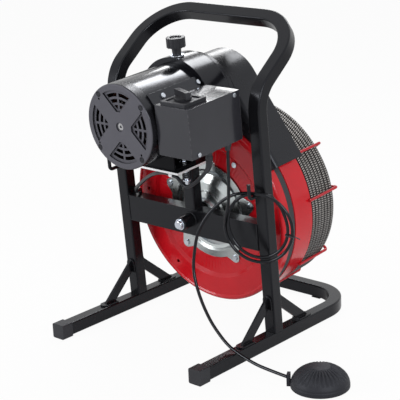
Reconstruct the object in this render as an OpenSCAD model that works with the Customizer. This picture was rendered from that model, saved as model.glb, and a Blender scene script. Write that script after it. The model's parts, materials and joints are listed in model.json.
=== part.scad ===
// Drain snake machine: a bent-tube stand that carries a belt-driven cable drum and its motor,
// with a switch box, an air-pedal on a hose, and a mains lead.
// The stand's base is level; the posts and all that they carry lean forward by one angle.

/* [Stand] */
// Outside width of the square tube
tube = 25; // [22:0.5:28]
// Wall of the square tube
tube_wall = 1.6; // [1.2:0.1:2.4]
// Outside corner radius of the square tube
tube_corner = 3; // [2.4:0.1:4]
// Distance between the centres of the two skids
track = 350; // [340:1:370]
// Length of the base, front cap to rear tube
base_len = 480; // [460:1:520]
// Centreline radius of the base's rear bends
base_bend = 77.5; // [60:0.5:90]
// Front of the base to the foot of the posts
post_y = 212; // [200:1:225]
// Forward lean of the posts
lean = 4; // [2:0.5:6]
// Height of the drum's axis where it meets the front of the posts
axis_z = 219.4; // [215:0.1:230]
// Height of the upright part of the posts above the drum's axis
post_rise = 264; // [250:1:280]
// Lean of the handle's legs, from the line of the posts
handle_lean = 56.6; // [50:0.1:62]
// Length of the handle's legs, bend point to bend point
handle_leg = 173; // [165:1:190]
// Centreline radius of the bends between posts and handle
handle_bend = 65; // [50:1:70]
// Centreline radius of the handle's top corners
handle_corner = 87.5; // [70:0.5:95]

/* [Braces and fittings] */
// Height of a brace's flat bar
brace_h = 19; // [14:0.5:22]
// Thickness of a brace's flat bar
brace_t = 5; // [4:0.5:7]
// Reach of a brace along the skid
brace_reach = 84; // [74:1:96]
// Height where a brace's upper edge meets the post, above the skid
brace_rise = 72; // [64:1:80]
// Height of the cross member
cross_h = 52.5; // [46:0.5:56]
// Cross member's top above the drum's axis
cross_top = 20.6; // [18:0.1:24]
// Length of the end caps
cap_len = 25; // [20:1:32]
// Wall of the end caps
cap_wall = 2; // [1.5:0.1:2.5]
// Diameter of the hook rod
hook_d = 7; // [5:0.5:8]
// Height of the hooks' arms above the drum's axis
hook_t = 80; // [74:1:82]
// Reach of the hooks in front of the posts
hook_reach = 28; // [24:1:34]
// Rise of the hooks' tips
hook_tip = 28; // [20:1:34]

/* [Drum] */
// Outside radius of the drum's rims
drum_r = 184; // [178:0.5:186]
// Wall of the drum's pressed shell
drum_wall = 1.8; // [1.4:0.1:2.4]
// Front of the drum behind the front of the posts
drum_s = 50; // [46:0.5:54]
// Width of the front lip
lip_w = 21; // [18:0.5:24]
// Width of the belt groove
groove_w = 15; // [13:0.5:17]
// Depth of the belt groove
groove_d = 6.5; // [5:0.5:8]
// Width of the plain band behind the groove
band_w = 51; // [46:0.5:56]
// Radius of the opening in the drum's front
mouth_r = 92; // [86:0.5:94]
// Diameter of the cage bars
bar_d = 5.4; // [4.6:0.1:5.4]
// Diameter of the snake cable
cable_d = 9.5; // [8.5:0.1:10]
// Turns of cable that lie side by side
cable_turns = 7; // [5:1:7]
// Layers of cable, one on another
cable_layers = 3; // [2:1:5]
// Diameter of the axle
axle_d = 20; // [18:0.5:22]
// Outside diameter of the axle's sleeve
boss_d = 27; // [25:0.5:30]
// Reach of the sleeve in front of the cross member
boss_reach = 29; // [24:1:34]

/* [Motor] */
// Rise of the motor's axis above the drum's rim
motor_rise = 44; // [42:0.5:48]
// Radius of the motor's shell
motor_r = 78.5; // [76:0.5:79.5]
// Front face of the motor, ahead of the posts
motor_front = 157; // [150:1:162]
// Gap between the motor's back and the drum's front
motor_gap = 3; // [2:0.5:8]
// Drop from the motor's axis to the top of its plate
plate_drop = 98; // [94:1:104]
// Thickness of the motor's plate
plate_w = 4; // [3:0.5:6]
// Half the width of the motor's plate
plate_x = 63; // [58:1:68]
// Reach of the motor's plate ahead of the posts
plate_reach = 88; // [80:1:95]
// Outside radius of the hood
hood_r = 88.5; // [87:0.5:92]
// Length of the hood
hood_len = 54; // [48:1:58]
// Diameter of the hood's knob
knob_d = 35; // [30:0.5:38]
// Radius of the motor's pulley at the belt's inner face
pulley_r = 28; // [24:0.5:30]
// Diameter of the motor's shaft
shaft_d = 16; // [14:0.5:18]

/* [Belt guard] */
// Radius of the guard round the pulley
guard_top_r = 79; // [74:0.5:82]
// Gap between the drum's rim and the guard's outer face
guard_gap = 16; // [13:0.5:20]
// Front of the guard behind the front of the posts
guard_s = 62; // [61.5:0.5:65]
// Depth of the guard
guard_depth = 78; // [66:1:84]
// Angle above level where the guard ends on each side
guard_end = 48; // [44:1:54]
// Wall of the guard
guard_wall = 1.6; // [1.2:0.1:2.2]

/* [Switch box] */
// Width of the box
box_x = 77; // [70:1:82]
// Length of the box
box_s = 135; // [125:1:142]
// Height of the box
box_t = 90; // [80:1:96]
// Gap between the motor's axis and the box's inner side
box_gap = 79; // [77:0.5:84]
// Top of the box above the motor's axis
box_rise = 48; // [40:1:56]
// Wall of the box
box_wall = 1.6; // [1.2:0.1:2.4]

/* [Pedal] */
// Diameter of the pedal's base
pedal_d = 104; // [96:1:110]
// Height of the pedal
pedal_h = 40; // [36:0.5:44]
// Travel of the pedal's dome
pedal_travel = 8; // [5:0.5:9]

/* [Cords] */
// Diameter of the air hose
hose_d = 6; // [5.5:0.1:6.5]
// Diameter of the mains lead
lead_d = 7; // [6.5:0.1:7.5]

/* [Hidden] */
$fn = 96;

black = [0.10, 0.10, 0.11];
grey = [0.36, 0.36, 0.39];
red = [0.80, 0.08, 0.12];
zinc = [0.72, 0.74, 0.78];
steel = [0.45, 0.44, 0.42];
rubber = [0.06, 0.06, 0.07];

// Clearances
run = 0.05;      // radial gap of a running fit
free = 0.3;      // gap between faces on bodies that move
seat = 0.2;      // gap at a curved seat
eps = 0.01;

// Places that follow from the stand
lift = cap_wall;
motor_t = drum_r + motor_rise;
motor_back = drum_s - motor_gap;
plate_t = motor_t - plate_drop;
box_top = motor_t + box_rise;
guard_r = drum_r + guard_gap;
floor_tube_z = lift + tube / 2;
skid_top = lift + tube;
axis_y = post_y - (axis_z - skid_top) * tan(lean) - base_len / 2;
post_x = track / 2;
inner_x = track - tube;
tube_in = tube - 2 * tube_wall;

// The leaning frame: x across, s back along the drum's axis, t up along the posts
module leaning() translate([0, axis_y, axis_z]) rotate([lean, 0, 0]) children();
// A round part turned from a (radius, s) outline about the drum's axis
module along_s() rotate([-90, 0, 0]) children();
// A plate drawn in (x, t), from s = from_s, thick back along s
module plate_s(from_s, thick)
    translate([0, from_s, 0]) rotate([90, 0, 0]) mirror([0, 0, 1]) linear_extrude(thick) children();

// Square tube section with rounded corners; hollow unless solid is set
module tube_outline(w, r) {
    square([w, w - 2 * r], center = true);
    square([w - 2 * r, w], center = true);
    for (sx = [-1, 1], sy = [-1, 1])
        translate([sx * (w / 2 - r), sy * (w / 2 - r)]) circle(r);
}
module tube_section() difference() {
    tube_outline(tube, tube_corner);
    tube_outline(tube_in, tube_corner - tube_wall);
}
// A thin wall of thickness w that follows a path of points, to the right of its direction
function unit(v) = v / norm(v);
function normal_of(a, b) = let (d = unit(b - a)) [d[1], -d[0]];
function miter(path, i, w) =
    let (n0 = i > 0 ? normal_of(path[i - 1], path[i]) : normal_of(path[0], path[1]),
         n1 = i < len(path) - 1 ? normal_of(path[i], path[i + 1]) : n0,
         m = unit(n0 + n1))
    path[i] + m * w / (m * n0);
function wall_outline(path, w) = concat(path,
    [for (i = [len(path) - 1 : -1 : 0]) miter(path, i, w)]);
// Points along an arc
function arc(c, r, a0, a1, n) = [for (i = [0 : n]) let (a = a0 + (a1 - a0) * i / n)
    c + r * [cos(a), sin(a)]];

// ---- Stand: base ----
module skid(side) translate([side * post_x, -base_len / 2 + cap_wall, floor_tube_z])
    rotate([-90, 0, 0]) linear_extrude(base_len - cap_wall - tube / 2 - base_bend) tube_section();
module base_corner(side) {
    c = [side * (post_x - base_bend), base_len / 2 - tube / 2 - base_bend, floor_tube_z];
    translate(c) rotate([0, 0, side > 0 ? 0 : 90])
        rotate_extrude(angle = 90) translate([base_bend, 0]) tube_section();
}
module base_tube() color(black) {
    for (side = [-1, 1]) {
        skid(side);
        base_corner(side);
    }
    translate([-post_x + base_bend, base_len / 2 - tube / 2, floor_tube_z])
        rotate([0, 90, 0]) linear_extrude(track - 2 * base_bend) tube_section();
}
module skid_caps() color(rubber) for (side = [-1, 1])
    translate([side * post_x, -base_len / 2, floor_tube_z]) rotate([-90, 0, 0])
        difference() {
            linear_extrude(cap_len) tube_outline(tube + 2 * cap_wall, tube_corner);
            translate([0, 0, cap_wall]) linear_extrude(cap_len) tube_outline(tube, tube_corner);
        }
pad_w = 20;
module rear_pads() color(rubber) for (side = [-1, 1])
    translate([side * (post_x - base_bend) - pad_w / 2, base_len / 2 - tube, 0])
        cube([pad_w, tube, lift]);

// ---- Stand: posts and handle, one bent tube ----
bend_cut = handle_bend * tan(handle_lean / 2);
leg_run = handle_leg - bend_cut - handle_corner;
foot_t = (skid_top - axis_z) / cos(lean);
module handle_plane() translate([0, tube / 2, post_rise]) rotate([-handle_lean, 0, 0]) children();
module post_side(side) {
    translate([side * post_x, tube / 2, foot_t - tube])
        linear_extrude(post_rise - bend_cut - foot_t + tube) tube_section();
    translate([side * post_x, tube / 2 + handle_bend, post_rise - bend_cut]) rotate([0, 0, 180])
        rotate([90, 0, 90]) translate([0, 0, 0])
        rotate_extrude(angle = handle_lean) translate([handle_bend, 0]) rotate(90) tube_section();
    handle_plane() {
        translate([side * post_x, 0, bend_cut]) linear_extrude(leg_run) tube_section();
        translate([side * (post_x - handle_corner), 0, handle_leg - handle_corner])
            rotate([90, 0, 0]) rotate([0, 0, side > 0 ? 0 : 90])
            rotate_extrude(angle = 90) translate([handle_corner, 0]) tube_section();
    }
}
module handle_tube() color(black) difference() {
    leaning() {
        for (side = [-1, 1]) post_side(side);
        handle_plane() translate([-post_x + handle_corner, 0, handle_leg])
            rotate([0, 90, 0]) linear_extrude(track - 2 * handle_corner) tube_section();
    }
    translate([-track, -base_len, skid_top - 2 * tube]) cube([2 * track, 2 * base_len, 2 * tube]);
}

// ---- Stand: braces, each a flat bar on edge with a lug turned flat at each end ----
lug_len = 28;
lug_t = 3;
function post_face(z, back) = post_y - base_len / 2 + (back ? tube / cos(lean) : 0)
    - (z - skid_top) * tan(lean);
module lug_shape(len) {
    translate([-brace_h / 2, 0]) square([brace_h, len - brace_h / 2]);
    translate([0, len - brace_h / 2]) circle(brace_h / 2);
}
module brace(side, dir) {
    top_z = skid_top + brace_rise;
    back = dir > 0;
    toe_y = post_face(skid_top, back) + dir * brace_reach;
    top_y = post_face(top_z, back);
    slope = unit([top_y - toe_y, brace_rise]);
    drop = brace_h / abs(slope[1]);
    // bar, on edge
    translate([side * post_x - brace_t / 2, 0, 0]) rotate([90, 0, 90]) linear_extrude(brace_t)
        polygon([[toe_y, skid_top + lug_t], [top_y + dir * lug_t, top_z],
            [top_y + dir * lug_t, top_z - brace_h / abs(slope[0])],
            [toe_y - dir * drop, skid_top + lug_t]]);
    // lower lug, flat on the skid
    translate([side * post_x, toe_y - dir * drop, skid_top]) rotate([0, 0, dir > 0 ? 0 : 180])
        linear_extrude(lug_t) lug_shape(drop + brace_h / 2);
    // upper lug, flat on the post
    leaning() translate([side * post_x, (back ? tube : 0), lug_base(top_z)])
        rotate([90, 0, 0]) mirror([0, 0, back ? 1 : 0]) linear_extrude(lug_t) lug_shape(lug_len);
}
function lug_base(z) = (z - axis_z) / cos(lean) - lug_len + 3;
module braces() color(black) for (side = [-1, 1], dir = [-1, 1]) brace(side, dir);

// ---- Stand: cross member, axle, centre post ----
module cross_member() color(black) leaning() difference() {
    translate([-inner_x / 2, 0, cross_top - cross_h]) cube([inner_x, tube, cross_h]);
    translate([-inner_x / 2 - eps, tube_wall, cross_top - cross_h + tube_wall])
        cube([inner_x + 2 * eps, tube_in, cross_h - 2 * tube_wall]);
    translate([0, -tube, 0]) along_s() cylinder(d = boss_d + 2 * run, h = 3 * tube);
}
sleeve_back = tube + 6;
module axle_sleeve() color(black) leaning() along_s() translate([0, 0, -boss_reach]) difference() {
    cylinder(d = boss_d, h = boss_reach + sleeve_back);
    translate([0, 0, -eps]) cylinder(d = axle_d + 2 * run, h = boss_reach + sleeve_back + 2 * eps);
}
cable_s0 = drum_s + lip_w + groove_w + band_w + 4;
cable_s1 = cable_s0 + cable_turns * cable_d + 4;
cage_back = cable_s1 + free + bar_d;
axle_end = cage_back + 2;
module axle() color(zinc) leaning() along_s() translate([0, 0, -boss_reach])
    cylinder(d = axle_d, h = boss_reach + axle_end);
module axle_bolt() color(zinc) leaning() along_s() translate([0, 0, -boss_reach]) {
    translate([0, 0, -axle_washer]) cylinder(d = axle_d + 2, h = axle_washer);
    translate([0, 0, -axle_washer - axle_head_h]) rotate_extrude() polygon(concat([[0, 0]],
        arc([axle_head_d / 2 - head_round, head_round], head_round, -90, 0, 5),
        [[axle_head_d / 2, axle_head_h], [0, axle_head_h]]));
}
axle_washer = 2;
axle_head_d = 18;
axle_head_h = 6;
head_round = 3;
centre_x = 0;
plate_under = plate_t - plate_w;
module centre_post() color(black) leaning()
    translate([centre_x, tube / 2, cross_top]) linear_extrude(plate_under - cross_top)
        tube_section();

// ---- Stand: hooks for the hose and lead ----
module hooks() color(black) leaning() for (side = [-1, 1]) translate([side * post_x, 0, hook_t]) {
    rotate([90, 0, 0]) cylinder(d = hook_d, h = hook_reach - hook_d);
    translate([0, -hook_reach + hook_d, hook_d]) rotate([90, 0, -90])
        rotate([0, 0, -90]) rotate_extrude(angle = 90) translate([hook_d, 0]) circle(d = hook_d);
    translate([0, -hook_reach, hook_d]) cylinder(d = hook_d, h = hook_tip - hook_d);
}

// ---- Motor plate, its bolts, and the tension screw below it ----
module motor_plate() color(black) leaning() translate([0, 0, plate_under])
    linear_extrude(plate_w) difference() {
        polygon([[-plate_x, -plate_reach], [plate_x, -plate_reach], [plate_x, 4],
            [plate_x - 24, tube], [-plate_x + 24, tube], [-plate_x, 4]]);
        for (x = plate_bolt_x, s = plate_bolt_s) translate([x, s]) circle(d = bolt_d + 0.5);
        translate([rod_x, rod_s]) circle(d = rod_d + 0.5);
    }
bolt_d = 8;
plate_bolt_x = [-32, 32];
plate_bolt_s = [-68, -38];
module bolt(d, head, grip) {
    translate([0, 0, -grip]) cylinder(d = d, h = grip);
    cylinder(d = 1.8 * d, h = 1.2);
    translate([0, 0, 1.2]) cylinder(d = 1.6 * d, h = head, $fn = 6);
    translate([0, 0, -grip - 0.8 * d]) cylinder(d = 1.7 * d, h = 0.8 * d, $fn = 6);
}
cradle_t = 3;
module plate_bolts() color(zinc) leaning() for (x = plate_bolt_x, s = plate_bolt_s)
    translate([x, s, plate_t + cradle_t]) bolt(bolt_d, 5, plate_w + cradle_t);
rod_x = 11;
rod_s = -11;
rod_d = 8;
rod_drop = 54;
spring_at_t = 14;
spring_h = 15;
spring_turns = 3.5;
module tension_rod() color(zinc) leaning() translate([rod_x, rod_s, plate_under - rod_drop]) {
    cylinder(d = rod_d, h = rod_drop + plate_w + 4);
    translate([0, 0, spring_at_t - 3]) cylinder(d = 15, h = 2.5);
    translate([0, 0, spring_at_t + spring_h + spring_wire / 2]) cylinder(d = 15, h = 6, $fn = 6);
    translate([0, 0, rod_drop - 6]) cylinder(d = 15, h = 6, $fn = 6);
    translate([0, 0, rod_drop + plate_w]) cylinder(d = 13, h = 4);
}
spring_r = 6.2;
spring_wire = 2;
spring_steps = 14;
module tension_spring() color(rubber) leaning()
    translate([rod_x, rod_s, plate_under - rod_drop + spring_at_t + spring_wire / 2])
    sweep([for (i = [0 : spring_turns * spring_steps]) let (a = i * 360 / spring_steps)
        [spring_r * cos(a), spring_r * sin(a),
         (spring_h - spring_wire) * i / (spring_turns * spring_steps) + 0.3]], spring_wire, 6);

// ---- Motor ----
bell_depth = 22;
shield_depth = 14;
shell_wall = 2;
cradle_x = 52;
cradle_s0 = -84;
cradle_len = 58;
cradle_web = 3;
cradle_h = 44;
module at_motor() leaning() translate([0, 0, motor_t]) along_s() children();
module motor_cradle() color(black) leaning() difference() {
    union() {
        translate([-cradle_x, cradle_s0, plate_t]) cube([2 * cradle_x, cradle_len, cradle_t]);
        for (s = [cradle_s0, cradle_s0 + cradle_len - cradle_web])
            translate([-cradle_x, s, plate_t]) cube([2 * cradle_x, cradle_web, cradle_h]);
    }
    translate([0, -motor_front, motor_t]) along_s()
        cylinder(r = motor_r + seat, h = motor_front + motor_back);
    for (x = plate_bolt_x, s = plate_bolt_s) translate([x, s, plate_t - eps])
        cylinder(d = bolt_d + 0.5, h = cradle_t + 2 * eps);
}
module motor_shell() color(black) at_motor() translate([0, 0, -motor_front + bell_depth])
    difference() {
        cylinder(r = motor_r, h = motor_front + motor_back - bell_depth - shield_depth);
        translate([0, 0, -eps]) cylinder(r = motor_r - shell_wall,
            h = motor_front + motor_back - bell_depth - shield_depth + 2 * eps);
    }
bearing_d = 30;
vent_rows = [33, 44, 55];
vent_w = 6.5;
vent_sink = 3.5;
arm_w = 33;
arm_edge = 3;
rib_w = 4.4;
hub_disc_r = 28;
sector_r = 67;
// Four arms run from the hub disc to the rim; between them the face is sunk
module arms(w) for (a = [45, 135]) rotate(a) square([3 * motor_r, w], center = true);
module vent_slots() difference() {
    for (r = vent_rows) difference() {
        circle(r + vent_w);
        circle(r);
    }
    arms(arm_w + 2 * arm_edge);
    for (a = [0, 90]) rotate(a) square([3 * motor_r, rib_w], center = true);
}
module sunk_sectors() difference() {
    circle(sector_r);
    circle(hub_disc_r);
    arms(arm_w);
}
bell_edge = 3;
bell_face = 6;
rim_wall = 4;
nose_d = 52;
nose_len = 16;
shaft_recess = 17;
screw_pcd = 71;
screw_angles = [37, 129, 219, 311];
head_d = 9;
head_sink = 2.5;
module end_bell() color(grey) at_motor() translate([0, 0, -motor_front]) difference() {
    rotate_extrude() polygon(concat(
        [[0, 0]], arc([motor_r - bell_edge, bell_edge], bell_edge, -90, 0, 5),
        [[motor_r, bell_depth], [motor_r - rim_wall, bell_depth],
         [motor_r - rim_wall, bell_face + 3], [motor_r - rim_wall - 3, bell_face],
         [nose_d / 2, bell_face], [nose_d / 2, nose_len], [0, nose_len]]));
    translate([0, 0, -1]) linear_extrude(bell_face + 2) vent_slots();
    translate([0, 0, -1]) linear_extrude(vent_sink + 1) sunk_sectors();
    translate([0, 0, -1]) cylinder(d = shaft_nose_d + 2 * run, h = nose_len + 2);
    translate([0, 0, -1]) cylinder(d = shaft_recess, h = 3);
    translate([0, 0, bell_face]) cylinder(d = bearing_d, h = nose_len);
    for (a = screw_angles) rotate(-a) translate([screw_pcd, 0, -1]) {
        cylinder(d = screw_d + 0.5, h = bell_face + 2);
        cylinder(d = head_d + 1.5, h = head_sink + 1);
    }
    for (a = screw_angles) rotate(-a) translate([screw_pcd, 0, 0]) rotate(a)
        translate([0, a < 180 ? spare_drop : -spare_drop, -1])
            cylinder(d = spare_d, h = bell_face + 2);
}
screw_d = 5;
// Spare hole beside each screw
spare_d = 4;
spare_drop = 8.5;
module bell_screws() color(zinc) at_motor() translate([0, 0, -motor_front])
    for (a = screw_angles) rotate(-a) translate([screw_pcd, 0, 0]) {
        difference() {
            cylinder(d = head_d, h = head_sink);
            translate([-head_d, -0.6, -1]) cube([2 * head_d, 1.2, 2]);
        }
        cylinder(d = screw_d, h = bell_face);
    }
module drive_shield() color(black) at_motor() translate([0, 0, motor_back - shield_depth])
    difference() {
        cylinder(r = motor_r, h = shield_depth);
        translate([0, 0, -eps]) cylinder(r = motor_r - 4, h = shield_depth - 4 + eps);
        translate([0, 0, -1]) cylinder(d = shaft_d + 2 * run, h = shield_depth + 2);
    }
stack_s0 = motor_front - 57;
stack_len = 105;
air_gap = 1;
rotor_r = 45;
fan_s0 = motor_front - 31;
fan_hub_r = 24;
fan_r = 60;
fan_w = 14;
module stator() color(steel) at_motor() translate([0, 0, -stack_s0]) difference() {
    cylinder(r = motor_r - shell_wall - seat, h = stack_len);
    translate([0, 0, -1]) cylinder(r = rotor_r + air_gap, h = stack_len + 2);
}
shaft_front = motor_front - 2.5;
shaft_nose_d = shaft_d - 3;
shaft_nose = 22;
module rotor() color(zinc) at_motor() {
    difference() {
        translate([0, 0, -shaft_front]) cylinder(d = shaft_nose_d, h = shaft_nose + 8);
        translate([0, 0, -shaft_front - 1]) cylinder(d = 5, h = 6);
    }
    translate([0, 0, -shaft_front + shaft_nose])
        cylinder(d = shaft_d, h = shaft_front - shaft_nose + belt_s1 + 6);
    translate([0, 0, -stack_s0 + 2]) cylinder(r = rotor_r, h = stack_len - 4);
    translate([0, 0, -fan_s0]) cylinder(r = fan_hub_r, h = fan_w - 2);
    for (a = [0 : 40 : 320]) rotate(a) translate([fan_hub_r - 2, -1, -fan_s0])
        cube([fan_r - fan_hub_r + 2, 2, fan_w]);
}
hood_s = -8;
hood_wall = 1.6;
hood_from = -14;
hood_to = 194;
module hood_arc(r0, r1, a0, a1, h) rotate([0, 0, a0]) rotate_extrude(angle = a1 - a0)
    translate([r0, 0]) square([r1 - r0, h]);
module motor_hood() color(black) difference() {
    union() {
        at_motor() rotate([0, 0, 180]) translate([0, 0, hood_s]) {
            hood_arc(hood_r - hood_wall, hood_r, -hood_to + 180, -hood_from + 180, hood_len);
            hood_arc(motor_r - 2, hood_r, -hood_to + 180, -hood_from + 180, hood_wall + 1);
        }
        at_motor() for (a = [-10, 190], s = [hood_s + 14, hood_s + hood_len - 14])
            rotate([0, 0, -a]) translate([motor_r - 2, 0, s]) rotate([0, 90, 0])
                cylinder(d = 12, h = hood_r - hood_wall / 2 - motor_r + 2);
        leaning() translate([0, knob_s, hood_top_t - 6]) cylinder(d = 22, h = 6);
    }
    at_motor() translate([0, 0, hood_s - 20]) cylinder(r = motor_r + seat, h = hood_len + 40);
    leaning() translate([0, knob_s, motor_t]) cylinder(d = stud_d + 0.2, h = 2 * hood_r);
}
knob_s = 6;
stud_d = 8;
washer_t = 2;
hood_top_t = motor_t + hood_r + 0.5;
module knob_washer() color(zinc) leaning() translate([0, knob_s, hood_top_t]) difference() {
    cylinder(d = 26, h = washer_t);
    translate([0, 0, -1]) cylinder(d = stud_d + 0.2, h = 4);
}
knob_neck = 14;
// The stud stops short of the motor's shell
stud_in = hood_r - motor_r + 0.5 + washer_t + free - 1;
knob_head = 18;
flutes = 12;
module hood_knob() color(rubber) leaning() translate([0, knob_s, hood_top_t + washer_t + free]) {
    translate([0, 0, -stud_in]) cylinder(d = stud_d, h = stud_in + 1);
    difference() {
        union() {
            cylinder(d1 = 16, d2 = 18, h = knob_neck);
            translate([0, 0, knob_neck]) cylinder(d = knob_d, h = knob_head);
        }
        for (i = [0 : flutes - 1]) rotate(i * 360 / flutes)
            translate([knob_d / 2 + 1.4, 0, knob_neck - 1]) cylinder(d = 6, h = knob_head + 2);
        translate([0, 0, knob_neck + knob_head - 2]) cylinder(d = knob_d - 13, h = 3);
    }
}

// ---- Belt guard: one pressed profile swept round a pear outline ----
guard_round = 10;
guard_c = motor_t - 8;
tangent_a = asin((guard_r - guard_top_r) / guard_c);
guard_flat = sqrt(guard_c * guard_c - (guard_r - guard_top_r) * (guard_r - guard_top_r));
module guard_profile() polygon(concat(
    wall_outline(concat([[-guard_round - 4, 0]],
        arc([-guard_round, guard_round], guard_round, -90, 0, 6), [[0, guard_depth]]),
        -guard_wall)));
module guard_face() difference() {
    union() {
        translate([0, guard_c]) circle(guard_top_r - guard_round - 2);
        polygon(concat(
            [for (a = [tangent_a, 180 - tangent_a])
                [0, guard_c] + (guard_top_r - guard_round - 2) * [cos(a), sin(a)]],
            [for (a = [180 - tangent_a, tangent_a])
                (guard_r - guard_round - 2) * [cos(a), sin(a)]]));
        intersection() {
            circle(guard_r - guard_round - 2);
            polygon([[0, 0], 2 * guard_r * [cos(guard_end), sin(guard_end)],
                [0, 3 * guard_r], 2 * guard_r * [-cos(guard_end), sin(guard_end)]]);
        }
    }
    circle(guard_inner);
    translate([0, motor_t]) circle(guard_hole);
    for (a = guard_screw_a) translate([0, motor_t] + guard_screw_r * [cos(a), sin(a)])
        circle(d = guard_screw_d + 0.4);
}
guard_inner = drum_r + 3;
guard_hole = pulley_r - 4;
guard_screw_r = motor_r - 26.5;
guard_screw_a = [30, 90, 150];
guard_screw_d = 6;
// The collar that closes the gap between the motor's back and the guard
collar_r = motor_r + 4;
collar_round = 5;
collar_len = 12;
collar_hole = guard_screw_r + guard_screw_d + 3;
module guard_collar() difference() {
    translate([0, guard_s - collar_len, motor_t]) along_s() rotate_extrude() polygon(concat(
        [[collar_r - 8, 0]], arc([collar_r - collar_round, collar_round], collar_round, -90, 0, 6),
        [[collar_r, collar_len + guard_wall / 2], [collar_hole, collar_len + guard_wall / 2],
         [collar_hole, collar_len - 2], [collar_r - 8, collar_len - 2]]));
    along_s() cylinder(r = guard_inner, h = 2 * guard_s);
}
module belt_guard() color(black) leaning() {
    guard_collar();
    plate_s(guard_s, guard_wall) guard_face();
    translate([0, guard_s, 0]) along_s() {
        for (side = [0, 1]) mirror([side, 0, 0]) {
            rotate([0, 0, -tangent_a]) rotate_extrude(angle = tangent_a - guard_end)
                translate([guard_r, 0]) guard_profile();
            rotate([0, 0, -tangent_a]) translate([guard_r, 0, 0]) rotate([90, 0, 0])
                linear_extrude(guard_flat) guard_profile();
        }
        translate([0, -guard_c, 0]) rotate([0, 0, tangent_a - 180])
            rotate_extrude(angle = 180 - 2 * tangent_a) translate([guard_top_r, 0])
            guard_profile();
    }
}
module guard_screws() color(zinc) leaning() translate([0, motor_back, motor_t]) along_s()
    for (a = guard_screw_a) rotate([0, 0, -a]) translate([guard_screw_r, 0, 0]) {
        cylinder(d = 2 * guard_screw_d, h = guard_s - motor_back);
        cylinder(d = guard_screw_d, h = guard_s - motor_back + guard_wall);
        translate([0, 0, guard_s - motor_back + guard_wall]) cylinder(d = 10, h = 4);
    }

// ---- Belt and pulley ----
belt_s0 = drum_s + lip_w + 1;
belt_s1 = drum_s + lip_w + groove_w - 1;
belt_w = belt_s1 - belt_s0;
belt_h = 5.2;
belt_r = drum_r - groove_d + free;
belt_small = pulley_r + free;
belt_a = asin((belt_r - belt_small) / motor_t);
// The loop's outline: round the drum, and over the pulley, with straight runs between them
belt_steps = 72;
function belt_loop(out) = concat(
    arc([0, 0], belt_r + out, 180 - belt_a, 360 + belt_a, belt_steps),
    arc([0, motor_t], belt_small + out, belt_a, 180 - belt_a, belt_steps / 3));
module drive_belt() color(rubber) leaning() plate_s(belt_s0, belt_w) difference() {
    polygon(belt_loop(belt_h));
    polygon(belt_loop(0));
}
module motor_pulley() color(zinc) leaning() translate([0, belt_s0 - 3, motor_t]) along_s()
    rotate_extrude() polygon([[shaft_d / 2, 0], [pulley_r + 6, 0], [pulley_r + 6, 1.6],
        [pulley_r, 2.6], [pulley_r, belt_w + 3.4], [pulley_r + 6, belt_w + 4.4],
        [pulley_r + 6, belt_w + 6], [shaft_d / 2, belt_w + 6]]);

// ---- Switch box ----
box_x0 = box_gap;
box_x1 = box_gap + box_x;
box_s1 = -11;
box_s0 = box_s1 - box_s;
box_t0 = box_top - box_t;
module box_cover() color(black) leaning() difference() {
    translate([box_x0 + box_wall, box_s0, box_t0]) cube([box_x - box_wall, box_s, box_t]);
    translate([box_x0, box_s0 + box_wall, box_t0 + box_wall])
        cube([box_x - box_wall, box_s - 2 * box_wall, box_t - 2 * box_wall]);
    for (p = box_screw_at) translate([box_x1 - 3, p[0], p[1]]) rotate([0, 90, 0])
        cylinder(d = 4.5, h = 6);
    translate([gland_x, gland_s, box_t0 - 1]) cylinder(d = gland_d, h = box_wall + 2);
    translate([fitting_x, fitting_s, box_t0 - 1]) cylinder(d = fitting_d, h = box_wall + 2);
    translate([bezel_x, bezel_s, box_top - 4]) cylinder(d = 14, h = 8);
}
box_screw_at = [[box_s1 - 15, box_top - 6], [box_s0 + 18, box_t0 + 6]];
tab_in = box_wall + free;
module box_base() color(black) leaning() difference() {
    union() {
        translate([box_x0, box_s0, box_t0]) cube([box_wall, box_s, box_t]);
        for (p = box_screw_at) translate([box_x0, p[0] - 8, p[1] - 3.5])
            cube([box_x - tab_in, 16, 7]);
    }
    for (p = box_screw_at) translate([box_x1 - 16, p[0], p[1]]) rotate([0, 90, 0])
        cylinder(d = 4.2, h = 20);
}
module box_screws() color(zinc) leaning() for (p = box_screw_at)
    translate([box_x1, p[0], p[1]]) rotate([0, 90, 0]) {
        cylinder(d = 8, h = 2.5);
        translate([0, 0, -12]) cylinder(d = 4, h = 12);
    }
// The bent strip that holds the box's inner side to the motor's shell
flange_a = 39;
flange_s0 = -137;
flange_s1 = hood_s - 1;
flange_w = 24;
flange_wall = 3;
flange_r = motor_r + seat + flange_wall;
function on_shell(along) = flange_r * [cos(flange_a), sin(flange_a)]
    + along * [sin(flange_a), -cos(flange_a)];
module box_flange() color(black) leaning() translate([0, 0, motor_t])
    plate_s(flange_s0, flange_s1 - flange_s0) polygon(wall_outline([on_shell(-flange_w / 2),
        on_shell(flange_w / 2), [box_x0, 40], [box_x0, 22]], flange_wall));
flange_screw_s = [-107, -14];
module flange_screws() color(zinc) leaning() translate([0, 0, motor_t]) along_s()
    for (s = flange_screw_s) rotate([0, 0, -flange_a]) translate([flange_r, 0, s])
        rotate([0, 90, 0]) cylinder(d = 9, h = 3);
bezel_x = 116;
bezel_s = -112;
bezel_w = 56;
bezel_h = 6;
knob_stem = 6;
module switch_bezel() color(rubber) leaning() translate([bezel_x, bezel_s, box_top])
    difference() {
        translate([-bezel_w / 2, -bezel_w / 2, 0]) cube([bezel_w, bezel_w, bezel_h]);
        translate([-bezel_w / 2 + 6, -bezel_w / 2 + 6, bezel_h - 2])
            cube([bezel_w - 12, bezel_w - 12, 4]);
        translate([0, 0, -1]) cylinder(d = knob_stem + 2 * run, h = bezel_h + 2);
    }
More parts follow.
